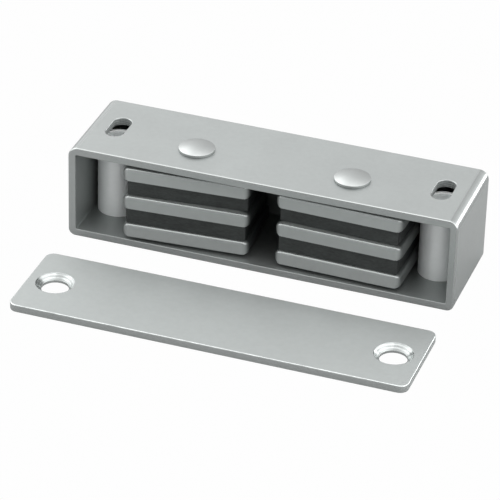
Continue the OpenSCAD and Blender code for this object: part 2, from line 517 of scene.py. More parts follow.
class Tree:
    """Short hand for building a node tree."""

    def __init__(self, tree: NodeTree) -> None:
        """Keeps the tree that is built."""
        self.tree = tree

    def add(self, kind: str, inputs: dict | None = None, **settings: object) -> bpy.types.Node:
        """Adds a node, sets its properties and fills its inputs.

        Args:
            kind: Blender's name of the node type.
            inputs: Value or output socket for each input, by name or number.
            **settings: Properties of the node.

        Returns:
            The new node.
        """
        node = self.tree.nodes.new(kind)
        for key, value in settings.items():
            setattr(node, key, value)
        for key, value in (inputs or {}).items():
            if isinstance(value, Socket):
                self.tree.links.new(value, node.inputs[key])
            else:
                node.inputs[key].default_value = value
        return node

    def maths(self, operation: str, a: object, b: object = 0.0, clamp: bool = False) -> Socket:
        """Result of a sum, product or other operation on two values."""
        return self.add("ShaderNodeMath", {0: a, 1: b}, operation=operation, use_clamp=clamp).outputs[0]

    def blend(self, mask: object, plain: object, other: object) -> Socket:
        """A value carried towards another by a mask."""
        return self.add("ShaderNodeMix", {"Factor": mask, "A": plain, "B": other}).outputs["Result"]

    def spread(
        self, value: object, low: float, high: float, to_low: object = 0.0, to_high: object = 1.0
    ) -> Socket:
        """A value carried from one range to another, and held at the ends."""
        ends = {"From Min": low, "From Max": high, "To Min": to_low, "To Max": to_high}
        return self.add("ShaderNodeMapRange", {"Value": value, **ends}).outputs["Result"]

    def noise(self, where: Socket, scale: Socket, detail: float, distortion: float = 0.0) -> Socket:
        """Value of a noise at a place."""
        inputs = {"Vector": where, "Scale": scale, "Detail": detail, "Distortion": distortion}
        return self.add("ShaderNodeTexNoise", inputs).outputs["Fac"]

    def mark(self, name: str) -> Socket:
        """Value of one of the skin's attributes."""
        return self.add("ShaderNodeAttribute", attribute_name=name).outputs["Fac"]

    def surface(self, height: Socket, strength: float, inputs: dict) -> None:
        """Ends a material: a bump from a height, the Principled shader with its inputs, and the output.

        Args:
            height: Height that the bump reads.
            strength: Strength of the bump.
            inputs: Inputs of the Principled shader.
        """
        bump = self.add("ShaderNodeBump", {"Strength": strength, "Distance": BUMP_DEPTH, "Height": height})
        shader = self.add("ShaderNodeBsdfPrincipled", {**inputs, "Normal": bump.outputs["Normal"]})
        self.add("ShaderNodeOutputMaterial", {"Surface": shader.outputs["BSDF"]})


def emptied(owner: Material | bpy.types.World) -> Tree:
    """The node tree of a new material or world, with nothing in it."""
    owner.use_nodes = True
    owner.node_tree.nodes.clear()
    return Tree(owner.node_tree)


def grain(build: Tree, given: Sockets) -> dict[str, Socket]:
    """Fine grain of a blasted or tumbled surface: two noises of unlike size, mixed into one height.

    Args:
        build: Tree of the group.
        given: The group's inputs.

    Returns:
        Value of each output, by name.
    """
    fine_scale = build.maths("DIVIDE", 1.0, given["Grain Size"])
    coarse_scale = build.maths("MULTIPLY", fine_scale, COARSER)
    fine = build.noise(given["Vector"], fine_scale, detail=3.0)
    coarse = build.noise(given["Vector"], coarse_scale, detail=4.0)
    return {"Height": build.blend(given["Coarse Share"], fine, coarse), "Tone": coarse}


def handling(build: Tree, given: Sockets) -> dict[str, Socket]:
    """Marks of handling: broad cloudy smears, and thin scratches that the smears break up.

    Args:
        build: Tree of the group.
        given: The group's inputs.

    Returns:
        Value of each output, by name.
    """
    smear_scale = build.maths("DIVIDE", 1.0, given["Smear Size"])
    smear = build.noise(given["Vector"], smear_scale, detail=5.0, distortion=0.6)
    stretch = {"Vector": given["Vector"], "Rotation": (0.3, 0.2, 0.7), "Scale": (0.12, 1.0, 1.0)}
    turned = build.add("ShaderNodeMapping", stretch).outputs["Vector"]
    scratch_scale = build.maths("DIVIDE", 1.0, given["Scratch Size"])
    cells = {"Vector": turned, "Scale": scratch_scale}
    scratch = build.add("ShaderNodeTexVoronoi", cells, feature="DISTANCE_TO_EDGE").outputs["Distance"]
    thin = build.spread(scratch, low=0.0, high=0.035, to_low=1.0, to_high=0.0)
    broken = build.spread(smear, low=0.52, high=0.62)
    smears = build.spread(smear, low=0.3, high=0.7)
    return {"Smears": smears, "Scratches": build.maths("MULTIPLY", thin, broken)}


def rubbed_rim(build: Tree, given: Sockets) -> dict[str, Socket]:
    """Rubbed edges: the rim attribute as an even polish, and broken up by noise as patchy wear.

    Args:
        build: Tree of the group.
        given: The group's inputs.

    Returns:
        Value of each output, by name.
    """
    rim = build.mark("rim")
    patch_scale = build.maths("DIVIDE", 1.0, given["Patch Size"])
    patches = build.noise(given["Vector"], patch_scale, detail=4.0)
    broken = build.spread(patches, low=0.35, high=0.6, to_low=0.35)
    polish = build.spread(rim, low=0.0, high=0.4)
    return {"Mask": build.maths("MULTIPLY", rim, broken, clamp=True), "Polish": polish}


def inside_film(build: Tree, given: Sockets) -> dict[str, Socket]:
    """Painted shade in hollows: the inside attribute, times a rise from the mouth to some way in.

    Args:
        build: Tree of the group.
        given: The group's inputs.

    Returns:
        Value of each output, by name.
    """
    inside = build.mark("inside")
    along = build.add("ShaderNodeSeparateXYZ", {"Vector": given["Vector"]}).outputs["Y"]
    depth = build.maths("DIVIDE", build.maths("SUBTRACT", along, given["Mouth"]), given["Fade"])
    rise = build.spread(depth, 0.0, 1.0, given["At Mouth"], given["Deep"])
    return {"Film": build.maths("MULTIPLY", inside, rise), "Inside": inside}


def tool_marks(build: Tree, given: Sockets) -> dict[str, Socket]:
    """Marks of a cutter: bands one above the other, bent a little by noise, times the cut attribute.

    Args:
        build: Tree of the group.
        given: The group's inputs.

    Returns:
        Value of each output, by name.
    """
    cut = build.mark("cut")
    scale = build.maths("DIVIDE", WAVE_LENGTH, given["Pitch"])
    wave = {"Vector": given["Vector"], "Scale": scale, "Distortion": 1.5, "Detail": 2.0, "Detail Scale": 0.6}
    bands = build.add("ShaderNodeTexWave", wave, bands_direction="Z").outputs["Fac"]
    return {"Lines": build.maths("MULTIPLY", cut, bands), "Cut": cut}


# Builder, outputs and first numbers of each shared effect
EFFECTS = {
    "grain": (grain, ("Height", "Tone"), {"Grain Size": 0.2 * MM, "Coarse Share": 0.4}),
    "handling": (handling, ("Smears", "Scratches"), {"Smear Size": 12 * MM, "Scratch Size": 1.5 * MM}),
    "rim": (rubbed_rim, ("Mask", "Polish"), {"Patch Size": 2 * MM}),
    # Painted shade in hollows and on hidden sides, deepening from the mouth inwards
    "shade": (
        inside_film,
        ("Film", "Inside"),
        {"Mouth": MOUTH, "Fade": 45 * MM, "At Mouth": 0.0, "Deep": 0.95},
    ),
    "tooling": (tool_marks, ("Lines", "Cut"), {"Pitch": 0.5 * MM}),
}


@cache
def shared(name: str) -> NodeTree:
    """The node group of an effect, made when it is first asked for.

    Args:
        name: Name of the effect.

    Returns:
        The group, which reads coordinates and numbers and gives numbers.
    """
    effect, outputs, numbers = EFFECTS[name]
    tree = bpy.data.node_groups.new(effect.__name__.replace("_", " "), "ShaderNodeTree")
    tree.interface.new_socket("Vector", in_out="INPUT", socket_type="NodeSocketVector")
    for label, value in numbers.items():
        socket = tree.interface.new_socket(label, in_out="INPUT", socket_type="NodeSocketFloat")
        socket.default_value = value
    for label in outputs:
        tree.interface.new_socket(label, in_out="OUTPUT", socket_type="NodeSocketFloat")
    build = Tree(tree)
    build.add("NodeGroupOutput", effect(build, build.add("NodeGroupInput").outputs))
    return tree


def place_effect(build: Tree, name: str, vector: Socket, **numbers: float) -> Sockets:
    """Places a shared effect in a material.

    Args:
        build: Tree of the material.
        name: Name of the effect.
        vector: Coordinates that the effect reads.
        **numbers: Numbers that differ from the effect's first ones, with underscores for spaces.

    Returns:
        The effect's outputs, by name.
    """
    named = {label.replace("_", " "): value for label, value in numbers.items()}
    return build.add("ShaderNodeGroup", {"Vector": vector, **named}, node_tree=shared(name)).outputs


def tinted(build: Tree, mask: object, plain: object, tint: object) -> Socket:
    """A colour carried towards a tint by a mask."""
    filled = [(*c, 1.0) if isinstance(c, tuple) else c for c in (plain, tint)]
    node = build.add("ShaderNodeMix", {"Factor": mask, "A": filled[0], "B": filled[1]}, data_type="RGBA")
    return node.outputs["Result"]


def toned(colour: Colour, factor: float) -> Colour:
    """A colour made lighter or darker, and held at white."""
    return tuple(min(c * factor, 1.0) for c in colour)


@dataclass(frozen=True)
class MetalFinish:
    """Bare or plated metal with grain, smears, scratches, polished edges and painted shade inside."""

    name: str
    colour: Colour
    roughness: float
    metallic: float = 0.8
    edge_roughness: float = 0.25
    inside_roughness: float = 0.55
    smear: float = 0.03
    tone: float = 0.02
    grain: float = 0.2 * MM
    bump: float = 0.02
    rubbed: float = 0.08
    tooled: float = 0.6
    tooled_roughness: float = 0.75
    # Colour of the painted shade in hollows and on hidden sides
    film: Colour = (0.012, 0.017, 0.016)
    # How much painted shade there is at the mouth, before it deepens inwards
    film_at_mouth: float = 0.0

    def material(self) -> Material:
        """Builds the material.

        Grain, rims, cutter's marks and painted shade set the colour. Smears, scratches, polish,
        the inside mask and cutter's marks set the roughness.

        Returns:
            The material.
        """
        made = bpy.data.materials.new(self.name)
        build = emptied(made)
        where = build.add("ShaderNodeTexCoord").outputs["Object"]
        fine = place_effect(build, "grain", where, Grain_Size=self.grain)
        marks = place_effect(build, "handling", where)
        rims = place_effect(build, "rim", where)
        shade = place_effect(build, "shade", where, At_Mouth=self.film_at_mouth)
        tooling = place_effect(build, "tooling", where)

        speckle = build.spread(fine["Tone"], low=0.3, high=0.7)
        dark, light = toned(self.colour, 1 - self.tone), toned(self.colour, 1 + self.tone)
        colour = tinted(build, speckle, dark, light)
        colour = tinted(build, rims["Mask"], colour, toned(self.colour, 1 + self.rubbed))
        colour = tinted(build, tooling["Lines"], colour, toned(self.colour, self.tooled))
        # Painted shade: hollows and hidden sides darken, more the deeper they lie
        colour = tinted(build, shade["Film"], colour, self.film)

        low, high = self.roughness - self.smear, self.roughness + self.smear
        rough = build.spread(marks["Smears"], 0.0, 1.0, low, high)
        rough = build.maths("ADD", rough, build.maths("MULTIPLY", marks["Scratches"], self.smear))
        rough = build.blend(rims["Polish"], rough, self.edge_roughness)
        rough = build.blend(shade["Inside"], rough, self.inside_roughness)
        rough = build.blend(tooling["Cut"], rough, self.tooled_roughness)
        inputs = {"Base Color": colour, "Roughness": rough, "Metallic": self.metallic}
        build.surface(fine["Height"], self.bump, inputs)
        return made


@dataclass(frozen=True)
class CeramicFinish:
    """Sintered ceramic: charcoal with pale and dark specks, drag marks of grinding, and chalky rims."""

    name: str
    colour: Colour
    roughness: float = 0.55
    smear: float = 0.1
    speck: float = 0.25 * MM
    dark_speck: float = 0.65
    pale_speck: float = 1.6
    chalk: float = 2.2
    bump: float = 0.25
    # Colour of the painted shade on the magnets' hidden sides
    film: Colour = (0.004, 0.006, 0.006)

    def material(self) -> Material:
        """Builds the material: specks, rims and painted shade set the colour, and smears the
        roughness.

        Returns:
            The material.
        """
        made = bpy.data.materials.new(self.name)
        build = emptied(made)
        where = build.add("ShaderNodeTexCoord").outputs["Object"]
        drawn = build.add("ShaderNodeMapping", {"Vector": where, "Scale": (0.3, 1.0, 1.0)}).outputs["Vector"]
        fine = place_effect(build, "grain", drawn, Grain_Size=self.speck)
        marks = place_effect(build, "handling", where, Smear_Size=6 * MM)
        rims = place_effect(build, "rim", where, Patch_Size=1 * MM)
        shade = place_effect(build, "shade", where, At_Mouth=0.6, Fade=5 * MM)

        speckle = build.spread(fine["Height"], low=0.35, high=0.65)
        dark, pale = toned(self.colour, self.dark_speck), toned(self.colour, self.pale_speck)
        colour = tinted(build, speckle, dark, pale)
        colour = tinted(build, rims["Mask"], colour, toned(self.colour, self.chalk))
        # Painted shade: the magnets darken quickly from the mouth inwards
        colour = tinted(build, shade["Film"], colour, self.film)
        low, high = self.roughness - self.smear, self.roughness + self.smear
        rough = build.spread(marks["Smears"], 0.0, 1.0, low, high)
        build.surface(fine["Height"], self.bump, {"Base Color": colour, "Roughness": rough})
        return made


# Sub-assemblies


def stations(*stops: float, steps: tuple[int, ...]) -> Array:
    """Stations from the first stop to the last, with so many steps between each two."""
    runs = [np.linspace(a, b, n + 1)[:-1] for a, b, n in zip(stops, stops[1:], steps)]
    return np.concatenate([*runs, [stops[-1]]])


def cell_loop(xs: Array, ys: Array) -> Array:
    """The edge of a rectangle, anticlockwise, with a point at each station.

    Args:
        xs: Stations along the catch.
        ys: Stations from front to back.

    Returns:
        Points of the edge, one row each.
    """
    foot = np.column_stack([xs[:-1], np.full(xs.size - 1, ys[0])])
    right = np.column_stack([np.full(ys.size - 1, xs[-1]), ys[:-1]])
    top = np.column_stack([xs[:0:-1], np.full(xs.size - 1, ys[-1])])
    left = np.column_stack([np.full(ys.size - 1, xs[0]), ys[:0:-1]])
    return np.vstack([foot, right, top, left])


# Strips along the catch in each of the casing's four cells, from left to right
CELL_STEPS = (16, 22, 22, 16)


@dataclass
class Casing:
    """Housing: a box open at the front, with slots, rivet holes and seats for the sleeves."""

    finish: Material
    wall: float = 1.75 * MM
    top_corner: float = 2.25 * MM
    base_corner: float = 1.6 * MM
    mouth_corner: float = 0.3 * MM
    edge: float = 0.4 * MM
    mouth_edge: float = 0.15 * MM
    # Weight of the painted shade on the mouth's lip, dark enough to put out its glint
    lip_shade: float = 12.0
    slot_width: float = 4.25 * MM
    slot_length: float = 8.7 * MM
    slot_edge: float = 0.12 * MM
    seat_radius: float = 4.17 * MM
    rivet_radius: float = 2.42 * MM
    tail_flare: float = 1.2 * MM
    strip: float = 0.1 * MM
    under_rim: float = 0.5
    rim_steps: int = 8
    slot_steps: int = 4
    corner_steps: int = 16
    stations_up: int = 9
    stations_back: int = 25

    def __post_init__(self) -> None:
        """Reads the casing's outer size from its solid."""
        low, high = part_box("housing")
        self.length = high.x - low.x
        self.depth = high.y - low.y
        self.height = high.z - low.z

    def front_outline(self, inset: float, base_corner: float, top_corner: float) -> Outline:
        """Outline seen from the front, with stations that part the top between its openings.

        Args:
            inset: How far it stands inside the casing's outer sides.
            base_corner: Radius of its lower corners.
            top_corner: Radius of its upper corners.

        Returns:
            The outline.
        """
        half_x, half_z = self.length / 2 - inset, self.height / 2 - inset
        gap = (screw_place(Side.RIGHT, "base_screws")[0] + rivet_place(Side.RIGHT)[0]) / 2
        part = gap / (half_x - top_corner)
        along = stations(-1.0, -part, 0.0, part, 1.0, steps=CELL_STEPS)
        up = np.linspace(-1, 1, self.stations_up)
        return Outline(half_x, half_z, base_corner, top_corner, along, up, self.corner_steps)

    def openings(self, base: bool) -> list[Opening]:
        """Openings from left to right, through the top or through the base.

        Args:
            base: Whether they go through the base.

        Returns:
            The four openings.
        """
        found = []
        for side in (Side.LEFT, Side.RIGHT):
            screw, rivet = screw_place(side, "base_screws"), rivet_place(side)
            run = 0.0 if base else (self.slot_length - self.slot_width) / 2
            radius = self.seat_radius if base else self.slot_width / 2
            found.append(Opening((screw[0], screw[1]), radius, run))
            found.append(Opening((rivet[0], rivet[1]), self.rivet_radius))
        return [found[0], found[1], found[3], found[2]]

    def panel(
        self,
        skin: Skin,
        xs: Array,
        ys: Array,
        level: float,
        openings: list[Opening],
        grow: list[float],
        guides: list[Array] | None = None,
        inside: float = 0.0,
    ) -> list[Array]:
        """Fills a level wall in four cells, each a flat ring from its edge to its opening.

        A narrow strip beside the opening keeps the rest of the flat free of the rim's shading.

        Args:
            skin: Skin that the wall is added to.
            xs: Stations along the catch, across all four cells.
            ys: Stations from front to back.
            level: Height of the wall's face.
            openings: One opening for each cell.
            grow: How far each opening is grown at this face.
            guides: Cell edges that the openings' points face, where they aren't this wall's own.
            inside: Inside value of the wall.

        Returns:
            The edge of each cell.
        """
        stops = np.concatenate([[0], np.cumsum(CELL_STEPS)])
        edges = []
        for i, opening in enumerate(openings):
            edge = cell_loop(xs[stops[i] : stops[i + 1] + 1], ys)
            guide = guides[i] if guides else edge
            loops = (edge, opening.loop(guide, grow[i] + self.strip), opening.loop(guide, grow[i]))
            skin.ring(*(self.lay(at_level(loop, level)) for loop in loops), inside=inside)
            edges.append(edge)
        return edges

    def lay(self, points: Array) -> Array:
        """Points of X, Y and Z in the skin's own order, which is X, Z from the middle, Y."""
        return np.stack([points[..., 0], points[..., 2] - self.height / 2, points[..., 1]], axis=-1)

    def opening_wall(
        self, skin: Skin, opening: Opening, guide: Array, stops: list[tuple[float, float, float]]
    ) -> None:
        """Lines an opening with loops of given growth, height and rim value.

        Args:
            skin: Skin that the wall is added to.
            opening: The opening.
            guide: Cell edge that its points face.
            stops: Growth, height and rim value of each loop.
        """
        rows = [self.lay(at_level(opening.loop(guide, grow), level)) for grow, level, _ in stops]
        rims = np.array([rim for _, _, rim in stops])
        cuts = np.array([float(grow == 0.0) for grow, _, _ in stops])
        skin.grid(np.stack(rows), rim=rims, cut=cuts)

    def shell(self, skin: Skin, outer: Outline, inner: Outline, runs_y: Array) -> Array:
        """Outer walls, back, rounded mouth and inner walls.

        Args:
            skin: Skin that they are added to.
            outer: Outline of the outer walls.
            inner: Outline of the inner walls.
            runs_y: Stations of the outer walls from front to back.

        Returns:
            Stations of the inner walls from front to back.
        """
        front, back = -self.depth / 2, self.depth / 2
        skin.rows(outer.rim(self.edge, front, -1, self.rim_steps))
        bend = np.broadcast_to(outer.bend(), (runs_y.size, outer.bend().size))
        skin.grid(np.stack([at_level(outer.loop(), y) for y in runs_y]), rim=bend, keep=outer.round_runs())
        skin.rows(outer.rim(self.edge, back, 1, self.rim_steps))
        even = self.front_outline(0.0, self.top_corner, self.top_corner)
        skin.cap(at_level(outer.loop(self.edge), back), even=even.loop())

        lip, sink, _ = quarter_turn(self.mouth_edge, self.rim_steps)
        lip_end = front + self.mouth_edge + self.strip
        lip_rows = [at_level(inner.loop(-i), front + d) for i, d in zip(lip, sink)]
        lip_rows = np.stack([at_level(inner.loop(), lip_end), *lip_rows])
        skin.ring(at_level(outer.loop(self.edge), front), lip_rows[-1])
        # Painted shade on the lip, strongest at its inner end, to put out its glint
        lip_shades = np.linspace(self.lip_shade, 0.0, self.rim_steps + 1)
        skin.grid(lip_rows, inside=np.concatenate([[1.0], lip_shades]))
        inner_y = np.linspace(lip_end, back - self.wall, self.stations_back)
        inner_rows = np.stack([at_level(inner.loop(), y) for y in inner_y])
        # Inner walls and back take the full painted shade, which darkens them deeper in
        skin.grid(inner_rows, keep=inner.round_runs(), inside=1.0)
        skin.cap(inner_rows[-1], inside=1.0)
        return inner_y

    def skin(self) -> Skin:
        """The shell, and the four level faces with their openings.

        Returns:
            The casing's skin.
        """
        skin = Skin()
        outer = self.front_outline(0.0, self.base_corner, self.top_corner)
        inner = self.front_outline(self.wall, self.mouth_corner, self.mouth_corner)
        reach = self.depth / 2 - self.edge
        runs_y = np.linspace(-reach, reach, self.stations_back)
        inner_y = self.shell(skin, outer, inner, runs_y)

        top_x = outer.loop()[outer.first_top : outer.first_top + outer.along_u.size, 0][::-1]
        foot_x = outer.loop()[outer.first_foot : outer.first_foot + outer.along_u.size, 0]
        in_x = inner.loop()[inner.first_foot : inner.first_foot + inner.along_u.size, 0]
        top_z, ceiling, floor = self.height, self.height - self.wall, self.wall
        tops, feet = self.openings(base=False), self.openings(base=True)

        bevel, fall, _ = quarter_turn(self.slot_edge, self.slot_steps)
        wide = [self.slot_edge, 0.0, 0.0, self.slot_edge]
        guides = self.panel(skin, top_x, runs_y, top_z, tops, wide)
        # The ceiling inside takes the full painted shade
        self.panel(skin, in_x, inner_y, ceiling, tops, wide, guides, inside=1.0)
        for opening, guide, grow in zip(tops, guides, wide):
            above, below = [(0.0, top_z, 0.0)], [(0.0, ceiling, 0.0)]
            if grow:
                above = [(g, top_z - d, 1.0) for g, d in zip(bevel[::-1], fall[::-1])]
                below = [(g, ceiling + d, self.under_rim) for g, d in zip(bevel, fall)]
            self.opening_wall(skin, opening, guide, above + below)

        foot_grow = [0.0, self.tail_flare, self.tail_flare, 0.0]
        guides = self.panel(skin, foot_x, runs_y, 0.0, feet, foot_grow)
        # The floor inside takes the full painted shade
        self.panel(skin, in_x, inner_y, floor, feet, [0.0] * 4, guides, inside=1.0)
        for opening, guide, grow in zip(feet, guides, foot_grow):
            flared = [(grow, 0.0, 0.0)] if grow else []
            self.opening_wall(skin, opening, guide, [*flared, (0.0, grow, 0.0), (0.0, floor, 0.0)])
        return skin

    def place(self, points: Array) -> Array:
        """The skin's X, Z from the middle, Y put back as X, Y and Z."""
        return np.stack([points[:, 0], points[:, 2], points[:, 1] + self.height / 2], axis=-1)

    def build(self) -> Object:
        """Makes the housing."""
        return make_piece("casing", self.skin(), self.place, Slot.HOUSING, self.finish, "housing")


@dataclass
class ScrewSleeve:
    """Tube that guides a fixing screw, with a thin spigot pressed into the base."""

    side: Side
    finish: Material
    bore: float = 7.4 * MM
    tube: float = 9.2 * MM
    spigot: float = 8.3 * MM
    seat: float = 1.75 * MM
    edge: float = 0.12 * MM
    steps: int = 128

    def build(self) -> Object:
        """Makes the sleeve by turning its section about its axis.

        Returns:
            The sleeve.
        """
        node = f"{self.side.word}_screw_sleeve"
        low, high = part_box(node)
        corners = np.array([
            (self.bore / 2, high.z / 2, 0.0),
            (self.bore / 2, low.z, 0.0),
            (self.spigot / 2, low.z, self.edge),
            (self.spigot / 2, self.seat, 0.0),
            (self.tube / 2, self.seat, self.edge),
            (self.tube / 2, high.z, self.edge),
            (self.bore / 2, high.z, self.edge),
            (self.bore / 2, high.z / 2, 0.0),
        ])
        profile, rim = softened(corners)
        skin = Skin()
        skin.grid(turned_profile(profile, self.steps), rim=rim)
        place = upright(screw_place(self.side, "base_screws"))
        return make_piece(f"{self.side.word}_sleeve", skin, place, Slot.SLEEVE, self.finish, node)


@dataclass
class Rivet:
    """Rivet with a low domed head on the top wall and a flush flared tail in the base."""

    side: Side
    finish: Material
    shank: float = 4.8 * MM
    head: float = 8.05 * MM
    head_rim: float = 0.6 * MM
    head_edge: float = 0.15 * MM
    over_edge: float = 0.100623 * MM
    under_edge: float = 0.08 * MM
    flare: float = 1.2 * MM
    neck_edge: float = 0.3 * MM
    flare_edge: float = 0.05 * MM
    hollow: float = 2.6 * MM
    hollow_depth: float = 4.0 * MM
    hollow_mouth: float = 0.1 * MM
    hollow_end: float = 0.2 * MM
    # Weight of the painted shadow on the head's side, under the dome
    side_shade: float = 1.7
    dome_stations: int = 22
    steps: int = 96

    def profile(self, top: float, seat: float) -> tuple[Array, Array]:
        """Half section from the hollow's end, round the tail, up the shank and over the dome.

        The dome is a part of a sphere. Its radius is half of the head squared plus the rise
        squared, over twice the rise, and its height above the rim follows from that radius.

        Args:
            top: Height of the dome's top.
            seat: Height of the face under the head.

        Returns:
            The profile and the rim value of each of its points.
        """
        rim_top = seat + self.head_rim
        rise = top - rim_top
        dome = ((self.head / 2) ** 2 + rise**2) / (2 * rise)
        away = np.linspace(self.head / 2 - self.head_edge, 0.0, self.dome_stations)
        bow = np.column_stack([away, top - dome + np.sqrt(dome**2 - away**2)])
        under, rim = softened(np.array([
            (0.0, self.hollow_depth, 0.0),
            (self.hollow / 2, self.hollow_depth, self.hollow_end),
            (self.hollow / 2, 0.0, self.hollow_mouth),
            (self.shank / 2 + self.flare, 0.0, self.flare_edge),
            (self.shank / 2, self.flare, self.neck_edge),
            (self.shank / 2, seat, 0.0),
            (self.head / 2, seat, self.under_edge),
            (self.head / 2, rim_top, self.over_edge),
            (*bow[0], 0.0),
        ]))
        return np.vstack([under, bow[1:]]), np.concatenate([rim, np.zeros(len(bow) - 1)])

    def build(self) -> Object:
        """Makes the rivet by turning its section about its axis.

        Returns:
            The rivet.
        """
        node = f"{self.side.word}_rivet"
        top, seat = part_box(node)[1].z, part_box("housing")[1].z
        profile, rim = self.profile(top, seat)
        # Painted shadow: the head's side below the dome is darkened and loses its rim
        on_side = (profile[:, 0] > self.shank / 2) & (profile[:, 1] < seat + self.head_rim)
        shades = np.where(on_side, self.side_shade, 0.0)
        skin = Skin()
        skin.grid(turned_profile(profile, self.steps), rim=np.where(on_side, 0.0, rim), inside=shades)
        name, place = f"{self.side.word}_domed_rivet", upright(rivet_place(self.side))
        return make_piece(name, skin, place, Slot.RIVET, self.finish, node)


@dataclass
class Spacer:
    """Flat ring that holds a stack clear of a wall."""

    side: Side
    level: str
    finish: Material
    outer: float = 10.0 * MM
    bore: float = 4.84 * MM
    edge: float = 0.08 * MM
    steps: int = 96

    def build(self) -> Object:
        """Makes the ring by turning its section about its axis.

        Returns:
            The ring.
        """
        node = f"{self.side.word}_{self.level}_spacer"
        low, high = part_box(node)
        middle = (low.z + high.z) / 2
        profile, rim = softened(np.array([
            (self.bore / 2, middle, 0.0),
            (self.bore / 2, low.z, self.edge),
            (self.outer / 2, low.z, self.edge),
            (self.outer / 2, high.z, self.edge),
            (self.bore / 2, high.z, self.edge),
            (self.bore / 2, middle, 0.0),
        ]))
        skin = Skin()
        skin.grid(turned_profile(profile, self.steps), rim=rim)
        name, place = f"{self.side.word}_{self.level}_ring", upright(rivet_place(self.side))
        return make_piece(name, skin, place, Slot.SPACER, self.finish, node)


@dataclass(frozen=True)
class Slab:
    """Plate of a stack: round corners and rims, and a hole for the rivet.

    The rims have a radius of their own along the long edges on top and at the foot, and at
    either end, where tumbling has rounded the left end most.
    """

    length: float
    depth: float
    corner: float
    top_edge: float
    foot_edge: float
    left_edge: float
    right_edge: float
    hole: float
    hole_edge: float = 0.1 * MM
    setback: float = 8.6 * MM
    plate_depth: float = 19.0 * MM
    # Painted shade on the outer end, less than on the end towards the other stack
    outer_shade: float = 0.6
    rim_steps: int = 10
    stations_along: int = 15
    stations_back: int = 11

    def skin(self, low: float, high: float, side: Side) -> Skin:
        """Underside, rounded foot, side, rounded head, top and hole, as one closed grid.

        A rim's radius at a point is the long edge's, plus the end's surplus times the square of
        the point's ray along X. The same squares set the painted shade: all of it on the back and
        on the side towards the other stack, and less on the outer side.

        Args:
            low: Height of the underside.
            high: Height of the top.
            side: End of the catch that the slab belongs to.

        Returns:
            The slab's skin about its rivet's axis.
        """
        along, back = np.linspace(-1, 1, self.stations_along), np.linspace(-1, 1, self.stations_back)
        outline = Outline(self.length / 2, self.depth / 2, self.corner, self.corner, along, back)
        ray = outline.rays()
        ends = np.maximum(ray[:, :1] * (-1, 1), 0.0) ** 2
        end_edges = np.array([self.left_edge, self.right_edge])
        top = self.top_edge + ends @ (end_edges - self.top_edge)
        foot = self.foot_edge + ends @ (end_edges - self.foot_edge)
        foot_rim = outline.rim(foot, low, -1, self.rim_steps)
        top_rim = outline.rim(top, high, 1, self.rim_steps)
        shift = np.array([0.0, self.plate_depth / 2 - self.setback])
        hole, guide = Opening((0.0, 0.0), self.hole / 2), outline.loop() + shift
        rows = [
            (hole.loop(guide), low + self.hole_edge, 0.0),
            (hole.loop(guide, self.hole_edge), low, 0.0),
            *((loop + shift, level, rim) for loop, level, rim in [*foot_rim[::-1], *top_rim]),
            (hole.loop(guide, self.hole_edge), high, 0.0),
            (hole.loop(guide), high - self.hole_edge, 0.0),
            (hole.loop(guide), low + self.hole_edge, 0.0),
        ]
        # Painted shade on the back and the ends, where light reaches less
        shades = np.array([1.0, self.outer_shade])[:: side.value]
        inside = np.clip(ends @ shades + np.maximum(ray[:, 1], 0.0) ** 2, 0.0, 1.0)
        skin = Skin()
        skin.rows(rows, inside=np.broadcast_to(inside, (len(rows), inside.size)))
        return skin


@dataclass
class Stack:
    """Three pole plates with two magnets between them, floating on one rivet."""

    side: Side
    steel: Material
    ceramic: Material
    slip: float
    slip_turn: float
    plate: Slab = Slab(
        length=29.0 * MM,
        depth=19.0 * MM,
        corner=1.6 * MM,
        top_edge=0.5 * MM,
        foot_edge=0.25 * MM,
        left_edge=1.45 * MM,
        right_edge=0.9 * MM,
        hole=4.9 * MM,
    )
    magnet: Slab = Slab(
        length=27.4 * MM,
        depth=18.0 * MM,
        corner=0.6 * MM,
        top_edge=0.3 * MM,
        foot_edge=0.3 * MM,
        left_edge=0.3 * MM,
        right_edge=0.3 * MM,
        hole=6.4 * MM,
    )

    def slab(self, level: str, slot: Slot, place: Place) -> Object:
        """Makes one plate or magnet, which stands for the solid of its level.

        Args:
            level: Word for the height that it stands at.
            slot: Slot of a plate or a magnet.
            place: Moves it into the frame.

        Returns:
            The plate or magnet.
        """
        word = self.side.word
        slab, kind, finish = {
            Slot.POLE_PLATE: (self.plate, "plate", self.steel),
            Slot.MAGNET: (self.magnet, "block", self.ceramic),
        }[slot]
        node = f"{word}_{level}_{slot.value}"
        low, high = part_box(node)
        skin = slab.skin(low.z, high.z, self.side)
        return make_piece(f"{word}_{level}_{kind}", skin, place, slot, finish, node, body=f"{word}_stack")

    def build(self) -> list[Object]:
        """Makes the plates, and the magnets, the upper of which has slipped back and turned further.

        Returns:
            The five pieces.
        """
        turn, axis = rest_turn(self.side), rivet_place(self.side)
        further = turn + self.slip_turn
        back = self.slip * np.array([-math.sin(further), math.cos(further), 0.0])
        square, slipped = upright(axis, turn), upright(axis + back, further)
        plates = [self.slab(level, Slot.POLE_PLATE, square) for level in ("lower", "middle", "upper")]
        lower = self.slab("lower", Slot.MAGNET, square)
        return [*plates, lower, self.slab("upper", Slot.MAGNET, slipped)]


